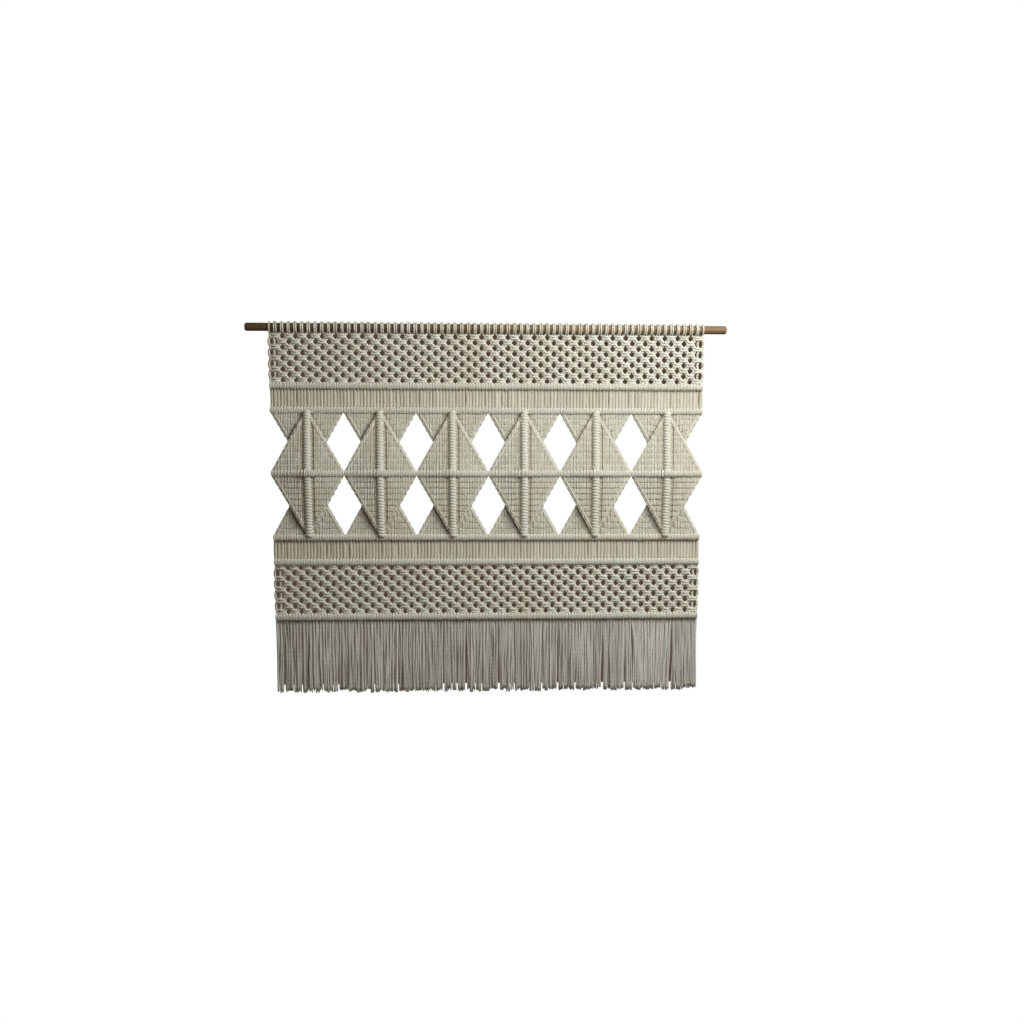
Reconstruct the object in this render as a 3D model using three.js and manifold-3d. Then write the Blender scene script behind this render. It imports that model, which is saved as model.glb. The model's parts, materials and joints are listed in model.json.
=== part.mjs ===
// A knotted-cord wall hanging (macrame) on a round wooden dowel.
//
// Millimetres. +X runs along the dowel, +Z is up and the front of the hanging faces -Y.
// The origin is the middle of the dowel's axis, where the wall hooks hold it.
//
// From the top down the fabric is: a row of mounting knots round the dowel, a net of square knots,
// a knotted ridge, a band of loose cords, a ridge, a field of six double pyramids crossed by a
// centre ridge, a ridge, a second band of loose cords, a ridge, a second net, a last ridge and a fringe.
// Each piece below is the solid envelope of its knots. The fabric bends at the two bands of loose
// cords and at the top of the fringe, so each band is two pieces with a gap between them.

import * as THREE from "three";
import Module from "manifold-3d";
import { mergeVertices } from "three/addons/utils/BufferGeometryUtils.js";

// Driving dimensions.
const CORD = 4; // diameter of the cotton cord
const CORD_PITCH = 6.26; // width that one cord takes at the dowel
const DRAW_IN = 6.9e-5; // share of its width that the fabric loses with each millimetre of height
const CORDS_PER_COLUMN = 22;
const COLUMNS = 6;
const DOWEL_LENGTH = 914;
const DOWEL_RADIUS = 7.95;
const DOWEL_CHAMFER = 2;
const NET_ROWS = 9;
const UPPER_NET_ROW = 9.8; // height of one row of square knots in the upper net
const LOWER_NET_ROW = 10.2;
const HITCH_ROW = 10.85; // height of one row of double half hitches
const PYRAMID_ROWS = 10; // rows from a ridge to the centre ridge
const LOOSE_BAND = 35.5; // height of each band of loose cords
const FRINGE_LENGTH = 133;
const GAP = 0.3; // between pieces that touch

// Thicknesses, front to back.
const NET_THICKNESS = 7.5;
const RIDGE_THICKNESS = 9.5;
const PANEL_THICKNESS = 6;
const WEB_THICKNESS = 2.2; // of a front panel where it passes behind its rib
const RIB_THICKNESS = 4.8;
const FRINGE_THICKNESS = 4;

// Widths.
const COLUMN_WIDTH = CORDS_PER_COLUMN * CORD_PITCH;
const HALF_COLUMN = COLUMN_WIDTH / 2;
const BODY_WIDTH = COLUMNS * COLUMN_WIDTH;
const RIB_WIDTH = 2 * CORD_PITCH;

// Heights, worked out downwards from the dowel's axis.
const MOUNTING_BOTTOM = -(DOWEL_RADIUS + CORD + 0.8);
const NET_HINGE = MOUNTING_BOTTOM - 2.1;
const NET_TOP = NET_HINGE - 2.1;
const RIDGE_1 = NET_TOP - NET_ROWS * UPPER_NET_ROW - HITCH_ROW / 2;
const RIDGE_2 = RIDGE_1 - HITCH_ROW - LOOSE_BAND;
const CENTRE_RIDGE = RIDGE_2 - HITCH_ROW - PYRAMID_ROWS * HITCH_ROW;
const RIDGE_3 = 2 * CENTRE_RIDGE - RIDGE_2;
const RIDGE_4 = RIDGE_3 - HITCH_ROW - LOOSE_BAND;
const RIDGE_5 = RIDGE_4 - HITCH_ROW - NET_ROWS * LOWER_NET_ROW;
const UPPER_FOLD = (RIDGE_1 + RIDGE_2) / 2;
const LOWER_FOLD = (RIDGE_3 + RIDGE_4) / 2;
const FRINGE_HINGE = RIDGE_5 - HITCH_ROW / 2 - 2.5;

// Relief of the pyramids.
const APEX_DEPTH = 14; // how far the crossing of rib and centre ridge comes forward
const OUTER_SHARE = 0.25; // share of that depth which is left at a column's edge
const BACK_CURVE = 1.4; // how quickly a back panel falls away from its rib
const FRONT_PANEL_START = 0.14; // where a front panel starts, as a share of the way to the centre ridge
const PANEL_STATIONS = 6; // cross-sections from the top to the bottom of a panel

const cordMaterial = new THREE.MeshStandardMaterial({ color: 0xd6d1b9, roughness: 0.9, metalness: 0 });
const ridgeMaterial = new THREE.MeshStandardMaterial({ color: 0xdcd8c3, roughness: 0.9, metalness: 0 });
const panelMaterial = new THREE.MeshStandardMaterial({ color: 0xcfc9ae, roughness: 0.9, metalness: 0 });
const backMaterial = new THREE.MeshStandardMaterial({ color: 0xbdb79c, roughness: 0.9, metalness: 0 });
const woodMaterial = new THREE.MeshStandardMaterial({ color: 0x8a5f3a, roughness: 0.5, metalness: 0 });

const hanging = new THREE.Group();
const wasm = await Module();
wasm.setup();

function addPiece(name, geometry, material) {
  const mesh = new THREE.Mesh(geometry, material);
  mesh.name = name;
  hanging.add(mesh);
}

// A piece of the fabric, which gets narrower towards the hem.
function addFabric(name, geometry, material) {
  const points = geometry.getAttribute("position");
  for (let i = 0; i < points.count; i++) {
    points.setX(i, points.getX(i) * (1 + DRAW_IN * points.getZ(i)));
  }
  addPiece(name, geometry, material);
}

// A geometry with shared vertices as a manifold-3d solid.
function toSolid(geometry) {
  const bare = new THREE.BufferGeometry().setAttribute("position", geometry.getAttribute("position"));
  bare.setIndex(geometry.getIndex());
  const merged = mergeVertices(bare, 1e-4);
  return new wasm.Manifold(
    new wasm.Mesh({
      numProp: 3,
      vertProperties: merged.attributes.position.array,
      triVerts: new Uint32Array(merged.index.array),
    }),
  );
}

function fromSolid(solid) {
  const mesh = solid.getMesh();
  return new THREE.BufferGeometry()
    .setAttribute("position", new THREE.BufferAttribute(mesh.vertProperties, 3))
    .setIndex(new THREE.BufferAttribute(mesh.triVerts, 1));
}

// A closed body through cross-sections, each of which is a rear and a front row of as many points.
function loft(sections) {
  const count = sections[0].rear.length;
  const around = 2 * count;
  const points = sections.flatMap(({ rear, front }) => [...rear, ...front.toReversed()]);
  const positions = points.flatMap((point) => point.toArray());
  const index = [];
  for (let s = 0; s + 1 < sections.length; s++) {
    for (let k = 0; k < around; k++) {
      const a = s * around + k;
      const b = s * around + ((k + 1) % around);
      index.push(a, b, b + around, a, b + around, a + around);
    }
  }
  const last = (sections.length - 1) * around;
  for (let k = 0; k + 1 < count; k++) {
    const quad = [k, k + 1, around - 2 - k, around - 1 - k];
    const [a, b, c, d] = quad;
    const [e, f, g, h] = quad.map((i) => last + i);
    index.push(a, c, b, a, d, c, e, f, g, e, g, h);
  }
  return new THREE.BufferGeometry()
    .setAttribute("position", new THREE.Float32BufferAttribute(positions, 3))
    .setIndex(facingOut(positions, index));
}

// The triangles with their corners reversed if the body they close is inside out.
function facingOut(positions, index) {
  const corner = (i) => new THREE.Vector3().fromArray(positions, 3 * i);
  let volume = 0;
  for (let i = 0; i < index.length; i += 3) {
    volume += corner(index[i]).dot(corner(index[i + 1]).cross(corner(index[i + 2])));
  }
  return volume < 0 ? index.reverse() : index;
}

// A flat slab across the whole fabric.
function slab(top, bottom, thickness) {
  const shape = new THREE.Shape([
    new THREE.Vector2(-BODY_WIDTH / 2, top),
    new THREE.Vector2(-BODY_WIDTH / 2, bottom),
    new THREE.Vector2(BODY_WIDTH / 2, bottom),
    new THREE.Vector2(BODY_WIDTH / 2, top),
  ]);
  return standUp(shape, thickness);
}

// An outline drawn in X and Z as a plate of that thickness, centred on the plane of the hanging.
function standUp(shape, thickness) {
  return new THREE.ExtrudeGeometry(shape, { depth: thickness, bevelEnabled: false })
    .translate(0, 0, -thickness / 2)
    .rotateX(Math.PI / 2);
}

function dowel() {
  const end = DOWEL_LENGTH / 2;
  const profile = [
    new THREE.Vector2(0, -end),
    new THREE.Vector2(DOWEL_RADIUS - DOWEL_CHAMFER, -end),
    new THREE.Vector2(DOWEL_RADIUS, -end + DOWEL_CHAMFER),
    new THREE.Vector2(DOWEL_RADIUS, end - DOWEL_CHAMFER),
    new THREE.Vector2(DOWEL_RADIUS - DOWEL_CHAMFER, end),
    new THREE.Vector2(0, end),
  ];
  return new THREE.LatheGeometry(profile, 32).rotateZ(Math.PI / 2);
}

// The doubled cords' mounting knots: a ring round the dowel for each pair of cords, joined below it
// by the bar where the pairs turn into the net.
function mountingKnots() {
  const sides = 8;
  const knots = (COLUMNS * CORDS_PER_COLUMN) / 2;
  const knotWidth = 2 * CORD;
  const pitch = (BODY_WIDTH - knotWidth) / (knots - 1);
  const flatToVertex = 1 / Math.cos(Math.PI / sides);
  const inner = (DOWEL_RADIUS + GAP) * flatToVertex;
  const outer = (DOWEL_RADIUS + GAP + CORD) * flatToVertex;
  const circle = (radius) =>
    Array.from({ length: sides }, (_, k) => {
      const angle = ((k + 0.5) * 2 * Math.PI) / sides;
      return new THREE.Vector2(radius * Math.cos(angle), radius * Math.sin(angle));
    });
  const ring = new THREE.Shape(circle(outer));
  ring.holes.push(new THREE.Path(circle(inner)));
  const barTop = -(DOWEL_RADIUS + GAP + CORD / 2);
  let solid = toSolid(slab(barTop, MOUNTING_BOTTOM, CORD));
  for (let k = 0; k < knots; k++) {
    const geometry = new THREE.ExtrudeGeometry(ring, { depth: knotWidth, bevelEnabled: false })
      .rotateY(Math.PI / 2)
      .translate(-BODY_WIDTH / 2 + k * pitch, 0, 0);
    solid = solid.add(toSolid(geometry));
  }
  return fromSolid(solid);
}

// A ridge's cross-section in Y and Z, with its corners cut off, about a point of its path.
function ridgeSection(x, y, z) {
  const halfHeight = HITCH_ROW / 2 - GAP / 2;
  const cut = 2.2;
  const heights = [-halfHeight, -halfHeight + cut, halfHeight - cut, halfHeight];
  const depths = [RIDGE_THICKNESS / 2 - cut, RIDGE_THICKNESS / 2, RIDGE_THICKNESS / 2, RIDGE_THICKNESS / 2 - cut];
  const row = (side) => heights.map((dz, k) => new THREE.Vector3(x, y + side * depths[k], z + dz));
  return { rear: row(1), front: row(-1) };
}

function straightRidge(z) {
  return loft([ridgeSection(-BODY_WIDTH / 2, 0, z), ridgeSection(BODY_WIDTH / 2, 0, z)]);
}

// The centre ridge comes forward at each rib and goes back at each column's edge.
function centreRidge() {
  const sections = [];
  for (let k = 0; k <= 2 * COLUMNS; k++) {
    const x = -BODY_WIDTH / 2 + k * HALF_COLUMN;
    const depth = k % 2 === 1 ? ribFace(1) + RIDGE_THICKNESS / 2 : frontPanelDepth(HALF_COLUMN, 1);
    sections.push(ridgeSection(x, depth, CENTRE_RIDGE));
  }
  return loft(sections);
}

// Depths (Y) in a pyramid. x is the distance from the rib and t goes from 0 at the outer ridge to
// 1 at the centre ridge.
function backPanelDepth(x, t) {
  return -APEX_DEPTH * t * Math.pow(1 - Math.abs(x) / HALF_COLUMN, BACK_CURVE);
}

function frontPanelDepth(x, t) {
  const behind = PANEL_THICKNESS + 1.4;
  return -behind - APEX_DEPTH * t * (1 - ((1 - OUTER_SHARE) * Math.abs(x)) / HALF_COLUMN);
}

function webBack(t) {
  return backPanelDepth(0, t) - PANEL_THICKNESS / 2 - 3 * GAP;
}

// The front face of the rib.
function ribFace(t) {
  return webBack(t) - WEB_THICKNESS - GAP - RIB_THICKNESS;
}

// The height (Z) of t in the upper or lower half of a column, inside the ridges' own heights.
function pyramidHeight(t, upper) {
  const reach = PYRAMID_ROWS * HITCH_ROW - 2 * GAP;
  const above = HITCH_ROW / 2 + GAP + (1 - t) * reach;
  return upper ? CENTRE_RIDGE + above : CENTRE_RIDGE - above;
}

function stations(first, last, count) {
  return Array.from({ length: count }, (_, k) => first + ((last - first) * k) / (count - 1));
}

// A back panel hangs from an outer ridge and narrows to its rib at the centre ridge.
function backPanel(middle, upper) {
  const half = PANEL_THICKNESS / 2;
  const sections = stations(0, 1, PANEL_STATIONS).map((t) => {
    const width = Math.max(HALF_COLUMN * (1 - t), CORD_PITCH);
    const across = [-width, -width / 2, 0, width / 2, width];
    const z = pyramidHeight(t, upper);
    const face = (side) => across.map((x) => new THREE.Vector3(middle + x, backPanelDepth(x, t) + side * half, z));
    return { rear: face(1), front: face(-1) };
  });
  return loft(sections);
}

// A front panel starts at the rib under an outer ridge and widens to the whole column at the centre
// ridge. It is thinner where it passes behind the rib.
function frontPanel(middle, upper) {
  const half = PANEL_THICKNESS / 2;
  const channel = RIB_WIDTH / 2 + GAP;
  const sections = stations(FRONT_PANEL_START, 1, PANEL_STATIONS).map((t) => {
    const width = Math.min(HALF_COLUMN * t + CORD_PITCH, HALF_COLUMN - GAP / 2);
    const z = pyramidHeight(t, upper);
    const wingRear = frontPanelDepth(width, t) + half;
    const rearDepth = (x) => webBack(t) + ((wingRear - webBack(t)) * Math.abs(x)) / width;
    const rearAcross = [-width, -1.6 * channel, -channel / 2, channel / 2, 1.6 * channel, width];
    const frontDepth = (x) => frontPanelDepth(x, t) - half;
    const web = webBack(t) - WEB_THICKNESS;
    const front = [
      [-width, frontDepth(width)],
      [-channel, frontDepth(channel)],
      [-channel, web],
      [channel, web],
      [channel, frontDepth(channel)],
      [width, frontDepth(width)],
    ];
    return {
      rear: rearAcross.map((x) => new THREE.Vector3(middle + x, rearDepth(x), z)),
      front: front.map(([x, y]) => new THREE.Vector3(middle + x, y, z)),
    };
  });
  return loft(sections);
}

// The rib of knots where the cords of both sides cross.
function rib(middle, upper) {
  const half = RIB_WIDTH / 2;
  const cut = 1.6;
  const across = [-half, -half + cut, half - cut, half];
  const sections = [0, 1].map((t) => {
    const z = pyramidHeight(t, upper);
    const rear = ribFace(t) + RIB_THICKNESS;
    const depths = [cut, 0, 0, cut].map((cutBack) => ribFace(t) + cutBack);
    return {
      rear: across.map((x) => new THREE.Vector3(middle + x, rear, z)),
      front: across.map((x, k) => new THREE.Vector3(middle + x, depths[k], z)),
    };
  });
  return loft(sections);
}

// One column's share of the fringe: its cords hang side by side from a bar, cut to nearly one length.
function fringe(column) {
  const barBottom = FRINGE_HINGE - GAP - 5;
  const tailWidth = 4.4;
  const unevenness = 2.5;
  const outline = [];
  const at = (x, z) => new THREE.Vector2(x, z);
  const left = -BODY_WIDTH / 2 + column * COLUMN_WIDTH;
  for (let k = 0; k < CORDS_PER_COLUMN; k++) {
    const middle = left + (k + 0.5) * CORD_PITCH;
    const cord = column * CORDS_PER_COLUMN + k;
    const end = FRINGE_HINGE - FRINGE_LENGTH + unevenness * (0.5 + 0.5 * Math.sin(2.4 * cord));
    outline.push(at(middle - tailWidth / 2, barBottom), at(middle - tailWidth / 2, end));
    outline.push(at(middle + tailWidth / 2, end), at(middle + tailWidth / 2, barBottom));
  }
  const barTop = FRINGE_HINGE - GAP;
  const barLeft = left + GAP / 2;
  const barRight = left + COLUMN_WIDTH - GAP / 2;
  outline.push(at(barRight, barBottom), at(barRight, barTop), at(barLeft, barTop), at(barLeft, barBottom));
  return standUp(new THREE.Shape(outline), FRINGE_THICKNESS);
}

const foldGap = CORD / 2 + 0.4; // each half of a folding band stops this far from its fold
const ridgeEdge = HITCH_ROW / 2 + GAP / 2; // where the next piece starts above or below a ridge

addPiece("dowel", dowel(), woodMaterial);
addPiece("mounting_knots", mountingKnots(), cordMaterial);
addFabric("upper_net", slab(NET_TOP, RIDGE_1 + ridgeEdge, NET_THICKNESS), cordMaterial);
addFabric("upper_net_ridge", straightRidge(RIDGE_1), ridgeMaterial);
addFabric("upper_loose_cords_top", slab(RIDGE_1 - ridgeEdge, UPPER_FOLD + foldGap, CORD), cordMaterial);
addFabric("upper_loose_cords_bottom", slab(UPPER_FOLD - foldGap, RIDGE_2 + ridgeEdge, CORD), cordMaterial);
addFabric("pyramid_top_ridge", straightRidge(RIDGE_2), ridgeMaterial);
addFabric("pyramid_centre_ridge", centreRidge(), ridgeMaterial);
addFabric("pyramid_bottom_ridge", straightRidge(RIDGE_3), ridgeMaterial);
addFabric("lower_loose_cords_top", slab(RIDGE_3 - ridgeEdge, LOWER_FOLD + foldGap, CORD), cordMaterial);
addFabric("lower_loose_cords_bottom", slab(LOWER_FOLD - foldGap, RIDGE_4 + ridgeEdge, CORD), cordMaterial);
addFabric("lower_net_top_ridge", straightRidge(RIDGE_4), ridgeMaterial);
addFabric("lower_net", slab(RIDGE_4 - ridgeEdge, RIDGE_5 + ridgeEdge, NET_THICKNESS), cordMaterial);
addFabric("fringe_ridge", straightRidge(RIDGE_5), ridgeMaterial);

for (let column = 0; column < COLUMNS; column++) {
  const middle = -BODY_WIDTH / 2 + (column + 0.5) * COLUMN_WIDTH;
  for (const upper of [true, false]) {
    const place = `${upper ? "upper" : "lower"}_${column + 1}`;
    addFabric(`back_panel_${place}`, backPanel(middle, upper), backMaterial);
    addFabric(`front_panel_${place}`, frontPanel(middle, upper), panelMaterial);
    addFabric(`rib_${place}`, rib(middle, upper), ridgeMaterial);
  }
  addFabric(`fringe_${column + 1}`, fringe(column), cordMaterial);
}

export default hanging;
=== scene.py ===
"""Looks of a knotted-cord (macrame) wall hanging on a wooden dowel.

The fabric is made from real lengths of cord, as it is knotted by hand: mounting knots round the
dowel, nets of alternating square knots, ridges of double half hitches round a holding cord, bands of
loose cords, double pyramids of crossing hitch rows with a rib down the middle, and a fringe.
Lengths of the object are millimetres until make_mesh() turns them into Blender's metres. The camera,
the lights and the stage are in metres.
The front faces -Y, +Z is up, and the origin is the middle of the dowel's axis.
"""

import json
import math

import bpy
import numpy as np
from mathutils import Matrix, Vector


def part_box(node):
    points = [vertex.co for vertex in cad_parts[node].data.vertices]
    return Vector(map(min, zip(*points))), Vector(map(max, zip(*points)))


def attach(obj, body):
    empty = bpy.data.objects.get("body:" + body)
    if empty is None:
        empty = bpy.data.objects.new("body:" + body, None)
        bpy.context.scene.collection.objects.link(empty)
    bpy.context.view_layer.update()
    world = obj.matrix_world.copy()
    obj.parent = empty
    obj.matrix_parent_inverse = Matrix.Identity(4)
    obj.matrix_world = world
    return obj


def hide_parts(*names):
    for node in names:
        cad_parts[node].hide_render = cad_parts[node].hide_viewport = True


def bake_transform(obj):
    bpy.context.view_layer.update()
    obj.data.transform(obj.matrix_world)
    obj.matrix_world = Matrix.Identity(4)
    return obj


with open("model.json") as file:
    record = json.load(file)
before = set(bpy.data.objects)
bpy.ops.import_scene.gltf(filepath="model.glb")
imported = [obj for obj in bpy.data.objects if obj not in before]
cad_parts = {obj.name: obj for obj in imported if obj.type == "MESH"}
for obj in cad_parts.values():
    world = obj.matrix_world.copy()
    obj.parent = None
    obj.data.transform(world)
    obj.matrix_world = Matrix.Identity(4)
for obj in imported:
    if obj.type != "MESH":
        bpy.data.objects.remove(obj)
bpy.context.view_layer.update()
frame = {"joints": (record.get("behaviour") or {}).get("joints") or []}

MM = 0.001
rng = np.random.default_rng(11)

# What the frame says, in millimetres.


def node_box(node):
    """Lowest and highest corner of a CAD node."""
    low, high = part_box(node)
    return np.array(low) / MM, np.array(high) / MM


def node_height(node):
    """Height (Z) of the middle of a CAD node."""
    low, high = node_box(node)
    return (low[2] + high[2]) / 2


KNOTS_LOW, KNOTS_HIGH = node_box("mounting_knots")
DOWEL_END, _, DOWEL_RADIUS = node_box("dowel")[1]
NET_TOP = node_box("upper_net")[1][2]
RIDGES = {
    name: node_height(name)
    for name in (
        "upper_net_ridge",
        "pyramid_top_ridge",
        "pyramid_centre_ridge",
        "pyramid_bottom_ridge",
        "lower_net_top_ridge",
        "fringe_ridge",
    )
}
CENTRE_RIDGE = RIDGES["pyramid_centre_ridge"]
FRINGE_BOTTOM = node_box("fringe_1")[0][2]
JOINT_HEIGHT = {j["name"]: j["pos_m"][2] / MM for j in frame["joints"] if "pos_m" in j}

# Counts and sizes of the knotting.
COLUMNS = 6
CORDS_PER_COLUMN = 22
CORDS = COLUMNS * CORDS_PER_COLUMN
BODY_WIDTH = KNOTS_HIGH[0] - KNOTS_LOW[0]
PITCH = BODY_WIDTH / CORDS
HALF_COLUMN = PITCH * CORDS_PER_COLUMN / 2
NET_ROWS = 9
PYRAMID_ROWS = 10
HITCH_ROW = (RIDGES["pyramid_top_ridge"] - CENTRE_RIDGE) / (PYRAMID_ROWS + 1)
CORD_RADIUS = 2.0
TIGHT_RADIUS = 1.72  # of a cord squeezed in a tight knot
NET_RADIUS = 2.3  # of a cord as it swells between a net's knots
RIDGE_LIFT = 1.8  # how far the ridges stand in front of the fabric's middle
RIDGE_EDGE = 4.2  # a ridge's hitches start this far above and below its holding cord
NET_GAP = 5.0  # between a net's cords and the holding cord of the ridge next to them
NET_START = NET_TOP + 5.0  # where the upper net's cords leave the mounting knots
LOW_RIDGE_WIDTH = np.ptp(np.array(node_box("fringe_ridge"))[:, 0])
DRAW_IN = (LOW_RIDGE_WIDTH / BODY_WIDTH - 1) / RIDGES["fringe_ridge"]


def cord_x(number):
    """Middle of a cord's place across the fabric, before the fabric draws in."""
    return (np.asarray(number) + 0.5) * PITCH - BODY_WIDTH / 2


# Tubes of cord.


def spline(control, steps):
    """A smooth curve through control points: (cords, points, 3) becomes (cords, more points, 3)."""
    c = np.asarray(control, float)
    before = 2 * c[:, :1] - c[:, 1:2]
    after = 2 * c[:, -1:] - c[:, -2:-1]
    p = np.concatenate([before, c, after], axis=1)
    a, b, d, e = p[:, :-3], p[:, 1:-2], p[:, 2:-1], p[:, 3:]
    parts = []
    for t in np.arange(steps) / steps:
        line = 2 * b + (d - a) * t
        bend = (2 * a - 5 * b + 4 * d - e) * t**2 + (3 * b - a - 3 * d + e) * t**3
        parts.append((line + bend) / 2)
    curve = np.stack(parts, axis=2).reshape(len(c), -1, 3)
    return np.concatenate([curve, c[:, -1:]], axis=1)


def unit(vectors):
    return vectors / np.maximum(np.linalg.norm(vectors, axis=-1, keepdims=True), 1e-9)


class Yarn:
    """Tubes of cord that together make one piece."""

    def __init__(self):
        self.points, self.fibres, self.strands = [], [], []
        self.quads, self.caps = [], []
        self.count = 0

    def add(self, paths, radius, sides=6, across=(1, 0, 0), width=1.0, tone=None):
        """Adds a tube round each path. width is how much wider than deep its section is, measured
        nearest to the direction called across. tone, from 0 light to 1 dark, is one for each cord, at
        random where none is given; the tones that callers give carry painted light and shade on several
        parts."""
        paths = np.asarray(paths, float)
        tubes, length = paths.shape[:2]
        radius = np.broadcast_to(np.asarray(radius, float), (tubes, length))
        tangent = unit(np.gradient(paths, axis=1))
        normal = np.empty_like(tangent)
        last = np.broadcast_to(np.asarray(across, float), (tubes, 3))
        for i in range(length):
            along = tangent[:, i]
            last = unit(last - along * np.sum(last * along, axis=1, keepdims=True))
            normal[:, i] = last
        side = np.cross(tangent, normal)
        angle = np.arange(sides) * 2 * np.pi / sides
        cos, sin = np.cos(angle)[:, None], np.sin(angle)[:, None]
        ring = width * cos * normal[:, :, None] + sin * side[:, :, None]
        points = paths[:, :, None] + radius[:, :, None, None] * ring
        steps = np.linalg.norm(np.diff(paths, axis=1), axis=2)
        travel = np.concatenate([np.zeros((tubes, 1)), np.cumsum(steps, axis=1)], axis=1)
        fibre = np.empty_like(points)
        fibre[..., 0], fibre[..., 1] = cos[:, 0], sin[:, 0]
        fibre[..., 2] = travel[:, :, None]
        tone = rng.random(tubes) if tone is None else tone
        strand = np.broadcast_to(tone[:, None, None], points.shape[:3])
        self.points.append(points.reshape(-1, 3))
        self.fibres.append(fibre.reshape(-1, 3))
        self.strands.append(strand.reshape(-1))
        self.connect(tubes, length, sides)

    def connect(self, tubes, length, sides):
        corner = self.count + np.arange(tubes * length * sides).reshape(tubes, length, sides)
        ahead = np.roll(corner, -1, axis=2)
        quads = [corner[:, :-1], ahead[:, :-1], ahead[:, 1:], corner[:, 1:]]
        self.quads.append(np.stack(quads, axis=-1).reshape(-1, 4))
        self.caps.append(corner[:, 0, ::-1])
        self.caps.append(corner[:, -1])
        self.count += tubes * length * sides


def draw_in(points):
    """The fabric is narrower towards its hem."""
    drawn = points.copy()
    drawn[:, 0] *= 1 + DRAW_IN * np.minimum(points[:, 2], 0)
    return drawn


def make_mesh(name, points, rings):
    """A mesh from points and a list of arrays of faces, each with one number of corners."""
    mesh = bpy.data.meshes.new(name)
    mesh.vertices.add(len(points))
    mesh.vertices.foreach_set("co", (points * MM).astype(np.float32).ravel())
    sizes = np.concatenate([np.full(len(r), r.shape[1]) for r in rings])
    corners = np.concatenate([r.ravel() for r in rings])
    mesh.loops.add(len(corners))
    mesh.loops.foreach_set("vertex_index", corners.astype(np.int32))
    mesh.polygons.add(len(sizes))
    starts = np.concatenate([[0], np.cumsum(sizes)[:-1]])
    mesh.polygons.foreach_set("loop_start", starts.astype(np.int32))
    mesh.update(calc_edges=True)
    mesh.validate()
    mesh.shade_smooth()
    return mesh


def make_piece(name, yarn, material, replaced):
    """One piece of the fabric, standing for the CAD nodes it replaces."""
    mesh = make_mesh(name, draw_in(np.concatenate(yarn.points)), yarn.quads + yarn.caps)
    fibre = mesh.attributes.new("fibre", "FLOAT_VECTOR", "POINT")
    fibre.data.foreach_set("vector", np.concatenate(yarn.fibres).astype(np.float32).ravel())
    strand = mesh.attributes.new("strand", "FLOAT", "POINT")
    strand.data.foreach_set("value", np.concatenate(yarn.strands).astype(np.float32))
    mesh.materials.append(material)
    piece = bpy.data.objects.new(name, mesh)
    bpy.context.collection.objects.link(piece)
    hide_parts(*replaced)
    return piece


# Materials.


class Nodes:
    """Short calls to build a material's node tree."""

    def __init__(self, name):
        self.material = bpy.data.materials.new(name)
        self.material.use_nodes = True
        self.tree = self.material.node_tree
        self.tree.nodes.clear()

    def add(self, kind, inputs=(), **settings):
        node = self.tree.nodes.new(kind)
        for key, value in settings.items():
            setattr(node, key, value)
        for key, value in dict(inputs).items():
            self.put(value, node.inputs[key])
        return node

    def put(self, value, socket):
        if isinstance(value, bpy.types.NodeSocket):
            self.tree.links.new(value, socket)
        else:
            socket.default_value = value

    def maths(self, operation, a, b=0.0, c=0.0):
        return self.add("ShaderNodeMath", {0: a, 1: b, 2: c}, operation=operation).outputs[0]

    def mix(self, factor, a, b, blend="MIX"):
        node = self.add("ShaderNodeMix", data_type="RGBA", blend_type=blend)
        self.put(factor, node.inputs[0])
        self.put(a, node.inputs[6])
        self.put(b, node.inputs[7])
        return node.outputs[2]

    def noise(self, vector, scale, detail=2.0):
        inputs = {"Vector": vector, "Scale": scale, "Detail": detail}
        return self.add("ShaderNodeTexNoise", inputs).outputs["Fac"]

    def spread(self, value, low, high, to_low, to_high):
        inputs = {"Value": value, "From Min": low, "From Max": high, "To Min": to_low, "To Max": to_high}
        return self.add("ShaderNodeMapRange", inputs).outputs[0]


TWIST_LENGTH = 26.0  # of one turn of the cord's strands


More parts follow.
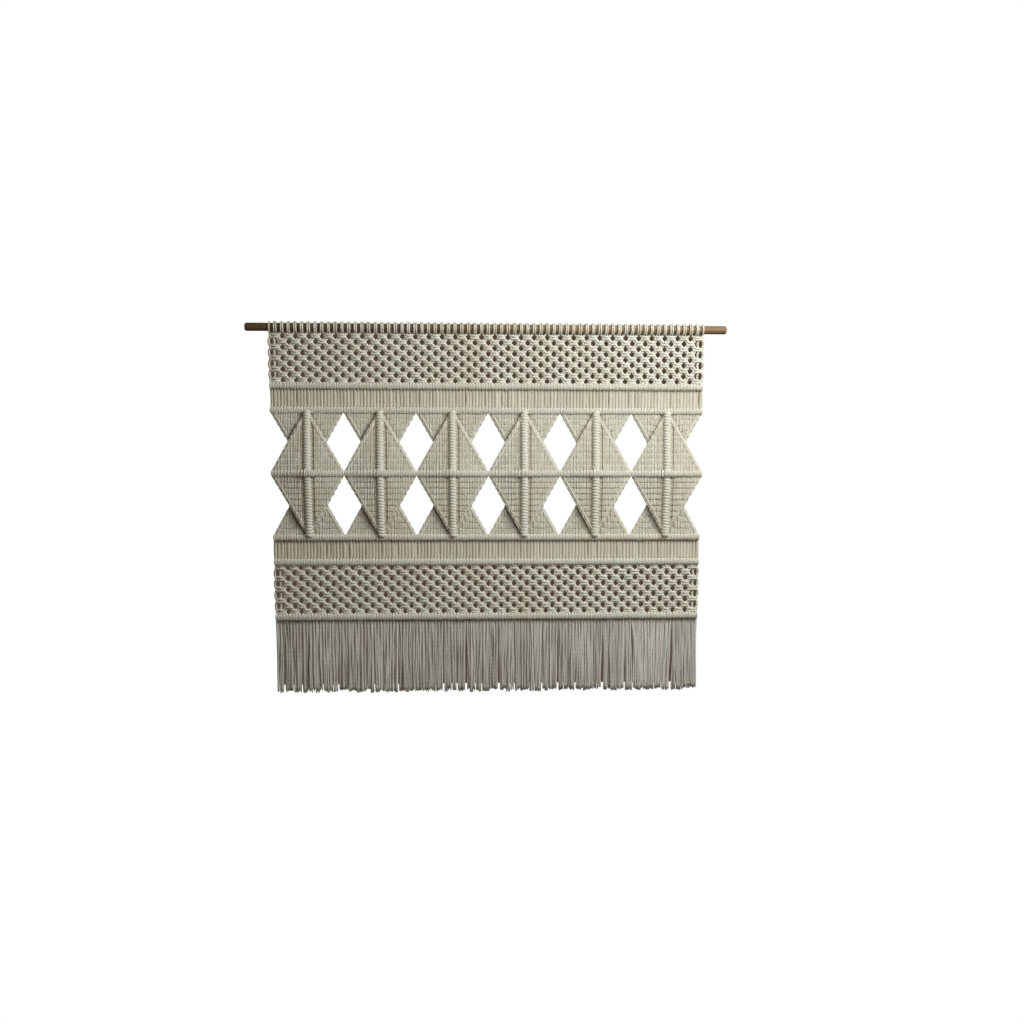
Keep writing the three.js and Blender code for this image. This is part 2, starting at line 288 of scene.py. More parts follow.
def cotton(name, colour, shade, warm):
    """Soft cotton cord: fine fibres that run along each cord with a slight twist, painted shade in the
    grooves between its strands, cords that differ a little in tone, partly at random and partly as
    painted light and shade, and slow patches of greyer and yellower cotton."""
    n = Nodes(name)
    fibre = n.add("ShaderNodeAttribute", attribute_name="fibre").outputs["Vector"]
    strand = n.add("ShaderNodeAttribute", attribute_name="strand").outputs["Fac"]
    split = n.add("ShaderNodeSeparateXYZ", {0: fibre}).outputs
    place = n.add("ShaderNodeTexCoord").outputs["Object"]
    around = n.maths("ARCTAN2", split[1], split[0])
    twist = n.maths("MULTIPLY", split[2], 2 * math.pi / TWIST_LENGTH)
    lay = n.maths("ADD", around, twist)
    along = n.maths("MULTIPLY", split[2], 0.05)
    inputs = {
        "X": n.maths("SINE", lay),
        "Y": n.maths("COSINE", lay),
        "Z": n.maths("ADD", along, n.maths("MULTIPLY", strand, 37.0)),
    }
    thread = n.add("ShaderNodeCombineXYZ", inputs).outputs[0]
    fine = n.noise(thread, 5.5, 3.0)
    ply = n.maths("ABSOLUTE", n.maths("SINE", n.maths("MULTIPLY", lay, 1.5)))
    patch = n.noise(place, 9.0, 3.0)
    tone = n.mix(n.spread(strand, 0, 1.1, 0.0, 1.0), colour, shade)
    tone = n.mix(n.spread(patch, 0.35, 0.7, 0.0, 0.5), tone, warm)
    streak = n.spread(fine, 0.3, 0.7, 0.86, 1.06)
    # Painted shade: the colour is darker in the grooves between the twisted strands.
    groove = n.spread(ply, 0.0, 0.45, 0.84, 1.0)
    both = n.maths("MULTIPLY", streak, groove)
    grey = n.add("ShaderNodeCombineColor", {0: both, 1: both, 2: both}).outputs[0]
    tone = n.mix(1.0, tone, grey, "MULTIPLY")
    height = n.maths("ADD", n.maths("MULTIPLY", fine, 0.5), n.maths("MULTIPLY", ply, 0.6))
    bump = n.add("ShaderNodeBump", {"Strength": 0.5, "Distance": 0.0006, "Height": height})
    inputs = {
        "Base Color": tone,
        "Roughness": n.spread(fine, 0.3, 0.7, 0.78, 0.95),
        "Specular IOR Level": 0.25,
        "Sheen Weight": 0.2,
        "Sheen Roughness": 0.5,
        "Normal": bump.outputs[0],
    }
    shader = n.add("ShaderNodeBsdfPrincipled", inputs)
    n.add("ShaderNodeOutputMaterial", {"Surface": shader.outputs[0]})
    return n.material


def wood(name):
    """A turned dowel of brown wood: long grain along X, pores and darker patches, and painted shade that
    makes it darker towards its left end, where less light falls."""
    n = Nodes(name)
    place = n.add("ShaderNodeTexCoord").outputs["Object"]
    long = n.add("ShaderNodeMapping", {"Vector": place, "Scale": (3.0, 95.0, 95.0)}).outputs[0]
    grain = n.noise(long, 1.0, 4.0)
    thin = n.add("ShaderNodeMapping", {"Vector": place, "Scale": (28.0, 900.0, 900.0)}).outputs[0]
    pores = n.noise(thin, 1.0)
    patch = n.noise(place, 4.0, 2.0)
    band = n.maths("SINE", n.maths("MULTIPLY", grain, 34.0))
    tone = n.mix(n.spread(band, -1, 1, 0.0, 1.0), (0.22, 0.135, 0.068, 1), (0.345, 0.23, 0.12, 1))
    tone = n.mix(n.spread(patch, 0.35, 0.65, 0.0, 0.5), tone, (0.14, 0.082, 0.042, 1))
    # Painted shade: the wood's colour is darkened towards its left end, where less light falls.
    across = n.add("ShaderNodeSeparateXYZ", {0: place}).outputs[0]
    painted_left_shade = n.spread(across, -0.44, 0.2, 0.9, 0.0)
    tone = n.mix(painted_left_shade, tone, (0.085, 0.045, 0.022, 1))
    tone = n.mix(n.spread(pores, 0.56, 0.72, 0.0, 0.6), tone, (0.07, 0.04, 0.024, 1))
    height = n.maths("SUBTRACT", n.maths("MULTIPLY", band, 0.15), n.spread(pores, 0.56, 0.72, 0.0, 0.8))
    bump = n.add("ShaderNodeBump", {"Strength": 0.35, "Distance": 0.0003, "Height": height})
    inputs = {
        "Base Color": tone,
        "Roughness": n.spread(patch, 0.3, 0.7, 0.42, 0.6),
        "Specular IOR Level": 0.4,
        "Normal": bump.outputs[0],
    }
    shader = n.add("ShaderNodeBsdfPrincipled", inputs)
    n.add("ShaderNodeOutputMaterial", {"Surface": shader.outputs[0]})
    return n.material


# Knots.


def jitter(shape, amount):
    return rng.normal(0, amount, shape)


def place(shape, x, y, z, mirror=1.0):
    """Copies of one knot's control points, each moved to its own place: (knots, points, 3)."""
    shape = np.asarray(shape, float)
    x, y, z, mirror = np.broadcast_arrays(x, y, z, mirror)
    copies = np.repeat(shape[None], len(x), axis=0)
    copies[:, :, 0] = copies[:, :, 0] * mirror[:, None] + x[:, None]
    copies[:, :, 1] += y[:, None]
    copies[:, :, 2] += z[:, None]
    return copies


# One cord in a double half hitch: down in front of the holding cord, round behind it, and again.
HITCH = np.array(
    [
        (0.0, 0.3, 6.2),
        (-1.25, -4.0, 5.5),
        (-1.62, -4.2, 0.3),
        (-1.3, -4.0, -5.1),
        (-0.8, 1.8, -4.6),
        (0.0, 3.6, -0.3),
        (0.7, 1.8, 4.4),
        (1.3, -4.0, 5.1),
        (1.62, -4.2, -0.2),
        (1.25, -4.0, -5.5),
        (0.0, 0.3, -6.2),
    ]
)

# On a ridge they stand out and round over more.
RIDGE_HITCH = HITCH * (1, 1.1, 0.88) - [(0, 1.4 * math.cos(z / 3.4), 0) for z in HITCH[:, 2]]


def add_hitches(yarn, x, y, z, mirror=1.0, shape=HITCH, tone=(0.0, 1.0)):
    """Double half hitches at the given places. tone is the least and the most of their tones."""
    count = len(np.atleast_1d(x))
    knots = place(shape, x, y, z, mirror)
    knots[:, 1:-1, 2] += jitter((count, 1), 0.18)
    knots[:, 1:-1, 0] += jitter((count, 1), 0.1)
    yarn.add(spline(knots, 2), TIGHT_RADIUS, sides=6, tone=rng.uniform(*tone, count))


def mounting_knots():
    """Each doubled cord goes over the dowel twice, and both its ends come out through its own bight,
    which lies behind. The two turns stand apart, and each lies against its neighbour's."""
    yarn = Yarn()
    middle = cord_x(np.arange(0, CORDS, 2)) + PITCH / 2
    radius = 1.68
    reach = DOWEL_RADIUS + radius - 0.1
    turn = PITCH - radius

    def on_dowel(x, degrees, lift=0.0):
        angle = math.radians(degrees)
        return x, (reach + lift) * math.sin(angle), -(reach + lift) * math.cos(angle)

    half = [(PITCH / 2, 0.0, NET_START - 0.6), (2.5, 4.2, NET_START), (2.6, 8.2, -8.4)]
    half += [on_dowel(3.4, 82), on_dowel(4.2, 105), on_dowel(turn, 135), on_dowel(turn, 165)]
    half += [on_dowel(turn, degrees) for degrees in (195, 225, 255, 285, 315)]
    half += [on_dowel(turn, 342, 0.2), on_dowel(turn - 0.2, 368, 0.6)]
    half += [on_dowel(3.6, 392, 2.4), on_dowel(1.8, 408, 3.6)]
    half = np.array(half)
    other = half[::-1] * (-1, 1, 1)
    loop = np.concatenate([half, other])
    knots = place(loop, middle, 0.0, 0.0)
    lean = jitter((len(middle), 1), 0.3)
    knots[:, 4:-4, 0] += lean * np.sign(-loop[4:-4, 1])
    yarn.add(spline(knots, 2), radius, sides=8)
    return yarn


# The two cords that a square knot is tied with, about its middle. The first makes both bars in front
# of the two straight cords, and the second passes behind them and shows at the sides.
FRONT_WORKER = [
    (-6.1, -1.1, 3.4),
    (-4.2, -2.9, 2.7),
    (0.0, -3.8, 2.15),
    (4.2, -2.9, 1.9),
    (6.2, -1.1, 1.3),
    (6.2, -1.1, -1.2),
    (4.2, -2.9, -1.8),
    (0.0, -3.8, -2.1),
    (-4.2, -2.9, -2.6),
    (-6.1, -1.1, -3.4),
]
REAR_WORKER = [
    (6.5, -2.2, 3.5),
    (5.2, 1.6, 2.5),
    (2.0, 3.3, 2.1),
    (-2.8, 3.2, 1.8),
    (-5.4, 0.4, 1.4),
    (-6.6, -2.5, 0.1),
    (-5.4, 0.4, -1.3),
    (-2.8, 3.2, -1.8),
    (2.0, 3.3, -2.1),
    (5.2, 1.4, -2.6),
    (6.5, -2.0, -3.5),
]
EDGE_SWING = 4.0  # how much wider the outermost knots of a net are
EDGE_SPREAD = 2.2  # how far its outermost cords stand out between two knots


def swing_out(shape, side):
    """A square knot's cord at the fabric's edge, which swings wider on that side."""
    wide = np.array(shape)
    wide[wide[:, 0] * side > 5, 0] += side * EDGE_SWING
    return wide


def net(top, bottom):
    """Rows of square knots. Each knot takes two cords from each of the two knots above it."""
    yarn = Yarn()
    levels = np.linspace(top, bottom, NET_ROWS + 1)
    lanes = cord_x(np.arange(CORDS))
    crossing = lanes[None] + jitter((NET_ROWS + 1, CORDS), 0.3)
    crossing[1:-1, 0] -= EDGE_SPREAD
    crossing[1:-1, -1] += EDGE_SPREAD
    crossing[0], crossing[-1] = lanes, lanes
    for row in range(NET_ROWS):
        high, low = levels[row], levels[row + 1]
        first = 0 if row % 2 == 0 else 2
        starts = np.arange(first, CORDS - 3, 4)
        count = len(starts)
        middle = lanes[starts] + 1.5 * PITCH + jitter(count, 0.25)
        depth = jitter(count, 0.25)
        lift = (high + low) / 2 + jitter(count, 0.2)

        def tied(shapes, cord):
            knots = place(shapes[1], middle, depth, lift)
            knots[0] = place(shapes[0], middle[:1], depth[:1], lift[:1])[0]
            knots[-1] = place(shapes[2], middle[-1:], depth[-1:], lift[-1:])[0]
            start = np.stack([crossing[row][cord], np.zeros(count), np.full(count, high)], axis=-1)
            end = np.stack([crossing[row + 1][cord], np.zeros(count), np.full(count, low)], axis=-1)
            return np.concatenate([start[:, None], knots, end[:, None]], axis=1)

        fillers = [(-2.1, -0.7, 2.6), (-2.0, -0.6, -2.6)]
        mirrored = [(-x, y, z) for x, y, z in fillers]
        front, rear = [FRONT_WORKER] * 3, [REAR_WORKER] * 3
        if not first:
            front[0], front[2] = swing_out(FRONT_WORKER, -1), swing_out(FRONT_WORKER, 1)
            rear[0], rear[2] = swing_out(REAR_WORKER, -1), swing_out(REAR_WORKER, 1)
        # Painted light: the net's cords get lighter tones, which lift the shade between its knots.
        tone = rng.uniform(-0.2, 0.4, (4, count))
        yarn.add(spline(tied(front, starts), 2), NET_RADIUS, tone=tone[0])
        yarn.add(spline(tied(rear, starts + 3), 2), NET_RADIUS, tone=tone[1])
        yarn.add(spline(tied([fillers] * 3, starts + 1), 3), NET_RADIUS, tone=tone[2])
        yarn.add(spline(tied([mirrored] * 3, starts + 2), 3), NET_RADIUS, tone=tone[3])
        if first:
            add_free_edge(yarn, crossing[row], crossing[row + 1], high, low)
    return yarn


def add_free_edge(yarn, above, below, high, low):
    """On every other row the two outermost cords on each side miss a knot. The outer one bows
    outwards a little and the other inwards."""
    steps = 9
    share = np.linspace(0, 1, steps)
    for side, cords in ((-1, (0, 1)), (1, (CORDS - 1, CORDS - 2))):
        for cord, bow in zip(cords, (0.8, -1.4)):
            path = np.zeros((steps, 3))
            bulge = (bow + rng.uniform(-0.3, 0.3)) * np.sin(np.pi * share)
            path[:, 0] = above[cord] + (below[cord] - above[cord]) * share + side * bulge
            path[:, 1] = -0.4 * np.sin(2 * np.pi * share)
            path[:, 2] = high + (low - high) * share
            yarn.add([path], NET_RADIUS)


def ridge(height, depth=None):
    """Double half hitches of all the cords round one holding cord."""
    yarn = Yarn()
    x = cord_x(np.arange(CORDS))
    depth = np.zeros(CORDS) if depth is None else depth(x)
    # Painted light: the ridges' cords get lighter tones, as they stand forward into the light.
    add_hitches(yarn, x, depth - RIDGE_LIFT, height, shape=RIDGE_HITCH, tone=(-0.1, 0.25))
    ends = np.array([-1, 1]) * (BODY_WIDTH / 2 + 0.8)
    across = np.concatenate([[ends[0]], x, [ends[1]]])
    along = np.interp(across, x, depth) - RIDGE_LIFT
    holding = np.stack([across, along, np.full_like(across, height)], axis=-1)
    yarn.add([holding], CORD_RADIUS, sides=8, across=(0, 0, 1))
    return yarn


def loose_band(top, bottom):
    """Cords that hang side by side between two ridges, a little flattened and not quite even."""
    yarn = Yarn()
    x = cord_x(np.arange(CORDS))
    steps = 9
    share = np.sin(np.linspace(0, np.pi, steps))
    paths = np.empty((CORDS, steps, 3))
    paths[:, :, 0] = x[:, None] + jitter((CORDS, 1), 0.5) * share
    paths[:, :, 1] = -0.6 + jitter((CORDS, 1), 0.5) * share
    paths[:, :, 2] = np.linspace(top, bottom, steps)
    radius = rng.uniform(1.8, 2.15, (CORDS, 1))
    # Painted shade: the loose cords get darker tones, for the shade in the gaps between them.
    yarn.add(paths, radius, sides=8, width=1.65, tone=rng.uniform(0.5, 1.45, CORDS))
    return yarn


# Pyramids. t goes from 0 at the outer ridge to 1 at the centre ridge, and u is the distance from the
# rib across a column. A depth is a place in Y, and less is further forward.

PYRAMID_DEPTH = 14  # how much further forward the ribs are at the centre ridge than at the outer one


def bell(u, middle, width):
    """1 at the middle, and falling smoothly to 0 on both sides."""
    return np.exp(-(((u - middle) / width) ** 2))


def back_depth(u, t):
    behind_fold = 2.4 * bell(u, HALF_COLUMN * t + 3, 6)
    return 0.6 - PYRAMID_DEPTH * t * np.maximum(1 - u / HALF_COLUMN, 0) ** 1.4 + behind_fold


def front_depth(u, t):
    groove = 2.8 * bell(u, 1.5 * PITCH, 2.8)
    return -6.8 - PYRAMID_DEPTH * t * (1 - 0.75 * u / HALF_COLUMN) + 0.6 * (1 - t) + groove


def rib_depth(t):
    return -10.4 - PYRAMID_DEPTH * t


def row_height(row, upper):
    """Height of a row of hitches, counted from the outer ridge. It may lie between two rows."""
    above = (PYRAMID_ROWS + 1 - row) * HITCH_ROW
    return CENTRE_RIDGE + above if upper else CENTRE_RIDGE - above


def height_at(t, upper):
    return row_height((PYRAMID_ROWS + 1) * t, upper)


def panel(middle, upper, front):
    """Rows of double half hitches on both sides of a rib. A front panel gains one cord in each row
    towards the centre ridge, and a back panel loses one."""
    yarn = Yarn()
    depth = front_depth if front else back_depth
    for row in range(1, PYRAMID_ROWS + 1):
        t = row / (PYRAMID_ROWS + 1)
        height = row_height(row, upper)
        cords = row if front else PYRAMID_ROWS + 1 - row
        tied = np.arange(1 if front else 0, cords)
        u = (tied + 0.5) * PITCH
        inner = u[:-1]  # the outermost cord turns in the border
        for side in (-1, 1):
            if len(u):
                mirror = side if front else -side
                # Painted shade: cords near the rib get darker tones, for the shade in the groove beside
                # it.
                painted_rib_shade = 1.1 * bell(u, 1.5 * PITCH, 5)
                tone = (0.1 + painted_rib_shade, 0.75 + painted_rib_shade)
                add_hitches(yarn, middle + side * u, depth(u, t), height, mirror, tone=tone)
            if len(inner):
                add_passing_cords(yarn, middle + side * inner, depth(inner, t), height)
            add_leader(yarn, middle, side, cords * PITCH, height, depth, t)
    for side in (-1, 1):
        add_edge(yarn, middle, side, upper, front, depth)
    return yarn


def add_passing_cords(yarn, x, y, z):
    """Behind a row of hitches, the cords pass on to the rows above and below and close the gaps."""
    reach = 0.62 * HITCH_ROW
    for leg in (-0.25 * PITCH, 0.25 * PITCH):
        passing = place([(leg, 0.6, -reach), (leg, 0.6, reach)], x, y, z)
        yarn.add(passing, TIGHT_RADIUS, sides=6, tone=np.full(len(x), 0.6))


def add_leader(yarn, middle, side, edge, height, depth, t):
    """The cord that one row is tied on, level from the rib to the panel's edge."""
    u = np.linspace(1.5, max(edge, 3.0), 6)
    path = np.stack([middle + side * u, depth(u, t), height + 0 * u], axis=-1)
    yarn.add([path], CORD_RADIUS - 0.1, sides=6, across=(0, 1, 0))


def add_edge(yarn, middle, side, upper, front, depth):
    """Each row's leader turns along the panel's edge, and together they make it a straight border of
    two cords."""
    t = np.linspace(0.0, 0.97, 4 * PYRAMID_ROWS)
    edge = HALF_COLUMN * (t if front else 1 - t)
    wave = 0.3 * np.sin(t * 2 * np.pi * (PYRAMID_ROWS + 1))
    for inset, lift in ((0.0, 3.0), (3.4, 4.4)):
        u = np.maximum(edge - inset + wave, 0.5)
        path = np.stack([middle + side * u, depth(u, t) - lift, height_at(t, upper)], axis=-1)
        yarn.add([path], CORD_RADIUS, sides=6, across=(0, 1, 0), width=1.15)


def rib(middle, upper):
    """The leaders of both sides wrap round each other in front, two turns to a row."""
    yarn = Yarn()
    count = 2 * (PYRAMID_ROWS + 1) - 1
    t = (np.arange(count) + 0.8) / (count + 1)
    height = height_at(t, upper)
    half = [(4.5, 4.6), (5.0, 1.2), (3.4, -1.5), (0.0, -2.4)]
    bar = [(-x, y, 0.09 * x) for x, y in half] + [(x, y, -0.09 * x) for x, y in half[-2::-1]]
    bars = place(bar, middle + jitter(count, 0.12), rib_depth(t), height + jitter(count, 0.12))
    # Painted light: the rib's bars get lighter tones, as they stand forward into the light.
    light = rng.uniform(-0.2, 0.1, count)
    yarn.add(spline(bars, 2), 2.25, sides=8, across=(0, 0, 1), width=1.45, tone=light)
    core = np.linspace(0.0, 0.97, 12)
    across = middle + 0 * core
    path = np.stack([across, rib_depth(core) + 1.6, height_at(core, upper)], axis=-1)
    yarn.add([path], 3.5, sides=10, width=1.35)
    return yarn


def centre_depth(x):
    """The centre ridge comes forward at each rib."""
    u = np.abs((x + BODY_WIDTH / 2) % (2 * HALF_COLUMN) - HALF_COLUMN)
    return -21.0 + 10.5 * u / HALF_COLUMN - 3.0 * bell(u, 0, 12)


# Where each strand of a fringe cord is in it: across, and how far back.
STRANDS = ((-1, 0), (0, -1), (1, 0), (-0.6, 1.4), (0.7, 1.4))
FRINGE_GROUPS = 6  # groups of cords that lean together in one column


def fringe(column):
    """One column's cords, unknotted, each come apart into strands. They lean together in small groups
    and are cut to nearly one length."""
    yarn = Yarn()
    count = CORDS_PER_COLUMN
    x = cord_x(np.arange(column * count, (column + 1) * count))
    top = RIDGES["fringe_ridge"] - 4.0
    steps = 18
    down = np.linspace(0, 1, steps)
    thinned_end = np.where(down > 0.985, 0.75, 1.0)
    group_edges = np.sort(rng.choice(np.arange(1, count), FRINGE_GROUPS - 1, replace=False))
    group = np.searchsorted(group_edges, np.arange(count), side="right")
    centre = np.array([x[group == g].mean() for g in group])
    # Painted shade: each group of cords gets a darker tone of its own, so that some clumps look shaded.
    shade = rng.uniform(-0.1, 0.8, FRINGE_GROUPS)[group] + rng.uniform(0, 0.3, count)
    shade = np.clip(shade, 0, 1)
    pull = rng.uniform(0.0, 0.3, count)
    lean = (centre - x) * pull + jitter(count, 0.9)
    if column in (0, COLUMNS - 1):
        lean[0 if column == 0 else -1] = 0.0
    phases = rng.uniform(0, 6.28, (len(STRANDS), count, 1))
    forward = rng.uniform(-3.0, 2.0, FRINGE_GROUPS)[group][:, None] + jitter((count, 1), 0.9)
    end = FRINGE_BOTTOM + rng.uniform(-1.0, 5.0, count)
    for (place_in_cord, layer), phase in zip(STRANDS, phases):
        spread = place_in_cord * (1.5 + 0.9 * down) + jitter((count, 1), 0.6) * down
        wander = jitter((count, 1), 0.55) * np.sin(down * 6 + phase)
        paths = np.empty((count, steps, 3))
        paths[:, :, 0] = x[:, None] + lean[:, None] * down**0.8 + spread + wander
        paths[:, :, 1] = (forward + jitter((count, 1), 1.1)) * np.sin(down * 2.4) * down
        paths[:, :, 1] += 0.7 * np.cos(down * 9 + phase) + 1.3 * layer
        cut = end + rng.uniform(-2.0, 2.0, count)
        paths[:, :, 2] = top + (cut[:, None] - top) * down
        radius = rng.uniform(1.2, 1.65, (count, 1)) * thinned_end
        tone = 0.6 * np.clip(shade + rng.uniform(-0.3, 0.3, count), 0, 1)
        yarn.add(paths, radius, sides=6, tone=tone)
    return yarn


# The dowel, turned smooth and eased at its ends.


def make_dowel(material):
    sides = 64
    end = DOWEL_END
    eased = [(0.0, 2.9), (0.3, 2.0), (0.9, 1.2), (1.8, 0.6), (3.0, 0.25), (5.0, 0.1)]
    middle = np.linspace(-end + 9.0, end - 9.0, 90)
    worn = DOWEL_RADIUS - 0.06 + 0.05 * np.sin(middle / 61) * np.sin(middle / 23)
    rings = [(-end + x, DOWEL_RADIUS - cut) for x, cut in eased] + list(zip(middle, worn))
    rings = np.array(rings + [(end - x, DOWEL_RADIUS - cut) for x, cut in eased[::-1]])
    angle = np.arange(sides) * 2 * np.pi / sides
    points = np.empty((len(rings), sides, 3))
    points[:, :, 0] = rings[:, :1]
    points[:, :, 1] = rings[:, 1:] * np.cos(angle)
    points[:, :, 2] = rings[:, 1:] * np.sin(angle)
    corner = np.arange(len(rings) * sides).reshape(len(rings), sides)
    ahead = np.roll(corner, -1, axis=1)
    quads = np.stack([corner[:-1], corner[1:], ahead[1:], ahead[:-1]], axis=-1).reshape(-1, 4)
    caps = np.stack([corner[0], corner[-1, ::-1]])
    mesh = make_mesh("turned_dowel", points.reshape(-1, 3), [quads, caps])
    mesh.materials.append(material)
    dowel = bpy.data.objects.new("turned_dowel", mesh)
    bpy.context.collection.objects.link(dowel)
    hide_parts("dowel")
    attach(dowel, "dowel")


# Camera, light and surroundings.


def make_camera():
    data = bpy.data.cameras.new("camera")
    data.lens = 46.5
    camera = bpy.data.objects.new("camera", data)
    camera.location = (-0.1036, -2.5, -0.394)
    camera.rotation_euler = (math.radians(91.05), math.radians(0.1), math.radians(-3.4))
    bpy.context.collection.objects.link(camera)
    bpy.context.scene.camera = camera


def make_light(name, location, target, size, power, colour):
    data = bpy.data.lights.new(name, "AREA")
    data.size = size
    data.energy = power
    data.color = colour
    light = bpy.data.objects.new(name, data)
    light.location = location
    aim = np.array(target) - np.array(location)
    light.rotation_euler = Vector(aim).to_track_quat("-Z", "Y").to_euler()
    bpy.context.collection.objects.link(light)


def make_world():
    """A pale surround that gives only a little warm light."""
    world = bpy.data.worlds.new("studio")
    world.use_nodes = True
    tree = world.node_tree
    dim = tree.nodes["Background"]
    dim.inputs["Color"].default_value = (1.0, 0.84, 0.66, 1)
    dim.inputs["Strength"].default_value = 0.11
    pale = tree.nodes.new("ShaderNodeBackground")
    pale.inputs["Color"].default_value = (1, 1, 1, 1)
    pale.inputs["Strength"].default_value = 0.85
    seen = tree.nodes.new("ShaderNodeLightPath").outputs["Is Camera Ray"]
    mix = tree.nodes.new("ShaderNodeMixShader")
    tree.links.new(seen, mix.inputs[0])
    tree.links.new(dim.outputs[0], mix.inputs[1])
    tree.links.new(pale.outputs[0], mix.inputs[2])
    tree.links.new(mix.outputs[0], tree.nodes["World Output"].inputs["Surface"])
    bpy.context.scene.world = world


def make_plane(name, size, location, rotation):
    mesh = bpy.data.meshes.new(name)
    w, h = size[0] / 2, size[1] / 2
    mesh.from_pydata([(-w, -h, 0), (w, -h, 0), (w, h, 0), (-w, h, 0)], [], [(0, 1, 2, 3)])
    plane = bpy.data.objects.new(name, mesh)
    plane.location = location
    plane.rotation_euler = rotation
    bpy.context.collection.objects.link(plane)
    return plane


def plain_floor():
    n = Nodes("plain_floor")
    pale = (0.82, 0.82, 0.81, 1)
    inputs = {"Base Color": pale, "Roughness": 0.9, "Emission Color": pale, "Emission Strength": 0.5}
    shader = n.add("ShaderNodeBsdfPrincipled", inputs)
    n.add("ShaderNodeOutputMaterial", {"Surface": shader.outputs[0]})
    return n.material


def seen_from_front(n, shader):
    """Ends a stage plane's material: the shader in front and nothing at all from behind."""
    open_air = n.add("ShaderNodeBsdfTransparent").outputs[0]
    behind = n.add("ShaderNodeNewGeometry").outputs["Backfacing"]
    mixed = n.add("ShaderNodeMixShader", {0: behind, 1: shader, 2: open_air})
    n.add("ShaderNodeOutputMaterial", {"Surface": mixed.outputs[0]})
    return n.material


def white_wall():
    n = Nodes("white_wall")
    white = n.add("ShaderNodeEmission", {"Color": (1, 1, 1, 1), "Strength": 1.0}).outputs[0]
    return seen_from_front(n, white)


def painted_fabric_shadow():
    """Painted shadow: the dark that shows through the nets, the loose cords and the fringe, given by a
    dark glowing plane close behind them, which is there only where fabric hangs right in front of it."""
    n = Nodes("painted_fabric_shadow")
    near = n.add("ShaderNodeAmbientOcclusion", {"Distance": 0.035}, samples=16).outputs["AO"]
    place = n.add("ShaderNodeSeparateXYZ", {0: n.add("ShaderNodeNewGeometry").outputs["Position"]})
    across, height = n.maths("ABSOLUTE", place.outputs[0]), place.outputs[2]
    top_half_width = (BODY_WIDTH / 2 - 0.5) * MM
    half_width = n.maths("MULTIPLY_ADD", height, DRAW_IN * BODY_WIDTH / 2, top_half_width)
    beside = n.maths("GREATER_THAN", across, half_width)
    above = n.maths("GREATER_THAN", height, -0.004)
    below = n.maths("LESS_THAN", height, (FRINGE_BOTTOM + 14) * MM)
    from_centre = n.maths("ABSOLUTE", n.maths("SUBTRACT", height, CENTRE_RIDGE * MM))
    pyramid_height = (RIDGES["pyramid_top_ridge"] - CENTRE_RIDGE) * MM
    by_pyramids = n.maths("LESS_THAN", from_centre, pyramid_height)
    clear = n.spread(near, 0.58, 0.7, 0.0, 1.0)
    for outside in (beside, above, below, by_pyramids):
        clear = n.maths("MAXIMUM", clear, outside)
    dark = n.add("ShaderNodeEmission", {"Color": (0.08, 0.05, 0.04, 1), "Strength": 1.0}).outputs[0]
    open_air = n.add("ShaderNodeBsdfTransparent").outputs[0]
    shader = n.add("ShaderNodeMixShader", {0: clear, 1: dark, 2: open_air}).outputs[0]
    return seen_from_front(n, shader)


def make_stage():
    make_world()
    floor = make_plane("floor", (12, 12), (0, 0, -1.75), (0, 0, 0))
    floor.data.materials.append(plain_floor())
    upright = (math.pi / 2, 0, 0)
    wall = make_plane("wall", (12, 5), (0, 0.6, 0.75), upright)
    wall.data.materials.append(white_wall())
    # A painted shadow: a dark glowing plane close behind the fabric.
    shadow = make_plane("painted_fabric_shadow", (1, 1), (0, 0.008, -0.35), upright)
    shadow.data.materials.append(painted_fabric_shadow())
    for plane in (floor, wall, shadow):
        plane.visible_shadow = False
        plane.visible_diffuse = False
        plane.visible_glossy = False
        plane.visible_transmission = False
    make_light("key", (1.0, -0.92, 0.58), (0.18, 0, -0.2), 0.65, 21.3, (0.97, 1.0, 0.985))
    make_light("front", (0.28, -0.9, 0.1), (0.26, 0, -0.2), 0.6, 4.4, (0.99, 0.995, 0.97))
    make_light("rear", (-1.4, 2.6, 1.0), (0, 0, -0.35), 1.6, 80, (1.0, 0.99, 0.97))


# The fabric's pieces.


def add_piece(name, yarn, body, *replaced):
    piece = make_piece(name, yarn, cord_cotton, replaced)
    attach(piece, body)
    return piece


def add_bent_piece(name, yarn, bodies, start, end, replaced, material):
    """A piece of the fabric, fixed where it is made and attached to no body. bodies, start and end are
    not used.
    """
    piece = make_piece(name, yarn, material, replaced)
    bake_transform(piece)
    return piece


def add_loose_band(name, above, below, bodies):
    """The loose cords from one ridge down to the next."""
    top, bottom = RIDGES[above], RIDGES[below]
    cords = loose_band(top - RIDGE_EDGE, bottom + RIDGE_EDGE)
    stiff = 6  # distance of the heights called bend from the ridges' middles
    bend = (top - stiff, bottom + stiff)
    halves = [name + "_top", name + "_bottom"]
    return add_bent_piece("cord_" + name, cords, bodies, *bend, halves, cord_cotton)


def make_upper_part():
    """From the dowel down to the pyramids."""
    knots = make_piece("cord_mounting_knots", mounting_knots(), cord_cotton, ["mounting_knots"])
    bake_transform(knots)
    end = RIDGES["upper_net_ridge"]
    upper_net = add_piece("cord_upper_net", net(NET_START, end + NET_GAP), "upper_panel", "upper_net")
    last_ridge = add_piece("cord_upper_net_ridge", ridge(end), "upper_panel", "upper_net_ridge")
    ridges = ("upper_net_ridge", "pyramid_top_ridge")
    band = add_loose_band("upper_loose_cords", *ridges, ("upper_panel", "pyramid_panel"))


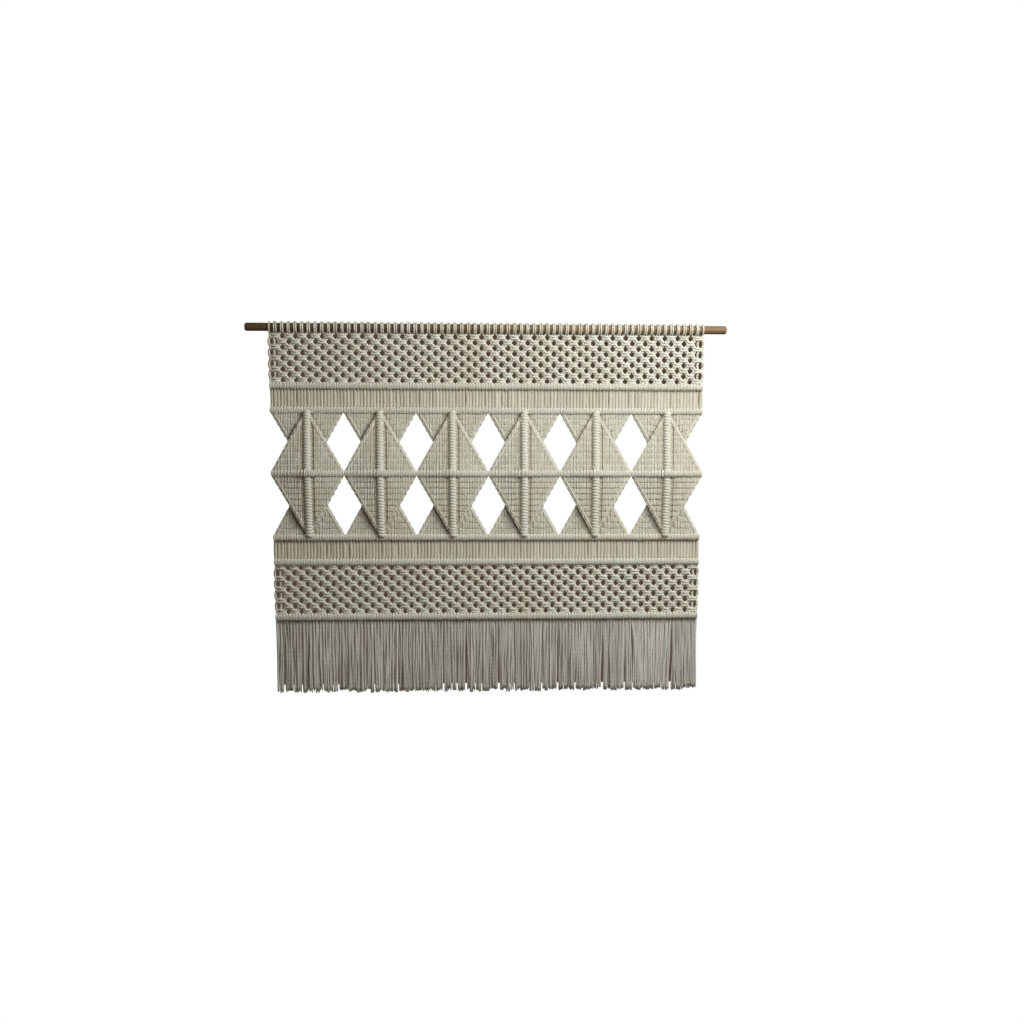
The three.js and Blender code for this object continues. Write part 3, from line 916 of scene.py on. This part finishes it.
def make_pyramids():
    """Six columns of double pyramids and the three ridges round them."""
    body = "pyramid_panel"
    for name in ("pyramid_top_ridge", "pyramid_bottom_ridge"):
        add_piece("cord_" + name, ridge(RIDGES[name]), body, name)
    centre = ridge(CENTRE_RIDGE, centre_depth)
    add_piece("cord_pyramid_centre_ridge", centre, body, "pyramid_centre_ridge")
    for column in range(COLUMNS):
        middle = (column + 0.5) * 2 * HALF_COLUMN - BODY_WIDTH / 2
        for level in ("upper", "lower"):
            upper = level == "upper"
            where = f"{level}_{column + 1}"
            back = panel(middle, upper, front=False)
            add_piece("cord_back_panel_" + where, back, body, "back_panel_" + where)
            front = panel(middle, upper, front=True)
            add_piece("cord_front_panel_" + where, front, body, "front_panel_" + where)
            add_piece("cord_rib_" + where, rib(middle, upper), body, "rib_" + where)


def make_lower_part():
    """From the pyramids down to the fringe's ends."""
    ridges = ("pyramid_bottom_ridge", "lower_net_top_ridge")
    band = add_loose_band("lower_loose_cords", *ridges, ("pyramid_panel", "lower_panel"))
    for name in ("lower_net_top_ridge", "fringe_ridge"):
        add_piece("cord_" + name, ridge(RIDGES[name]), "lower_panel", name)
    lower_net = net(RIDGES["lower_net_top_ridge"] - NET_GAP, RIDGES["fringe_ridge"] + NET_GAP)
    add_piece("cord_lower_net", lower_net, "lower_panel", "lower_net")
    hem = JOINT_HEIGHT["fringe_swing"]
    bend = (hem + 3, hem - 18)
    bodies = ("lower_panel", "fringe")
    for column in range(COLUMNS):
        node = f"fringe_{column + 1}"
        cords = fringe(column)
        add_bent_piece("cord_" + node, cords, bodies, *bend, [node], fringe_cotton_painted_shade)


bpy.context.scene.view_settings.view_transform = "Standard"
make_camera()
make_stage()
cord_cotton = cotton("cotton_cord", (0.7, 0.695, 0.61, 1), (0.53, 0.49, 0.39, 1), (0.62, 0.57, 0.45, 1))
# The fringe's cotton is greyer, and darker as painted shade of the light that falls off lower down.
fringe_cotton_painted_shade = cotton(
    "fringe_cotton_painted_shade", (0.66, 0.645, 0.59, 1), (0.37, 0.345, 0.31, 1), (0.5, 0.46, 0.395, 1)
)
make_dowel(wood("dowel_wood"))
make_upper_part()
make_pyramids()
make_lower_part()
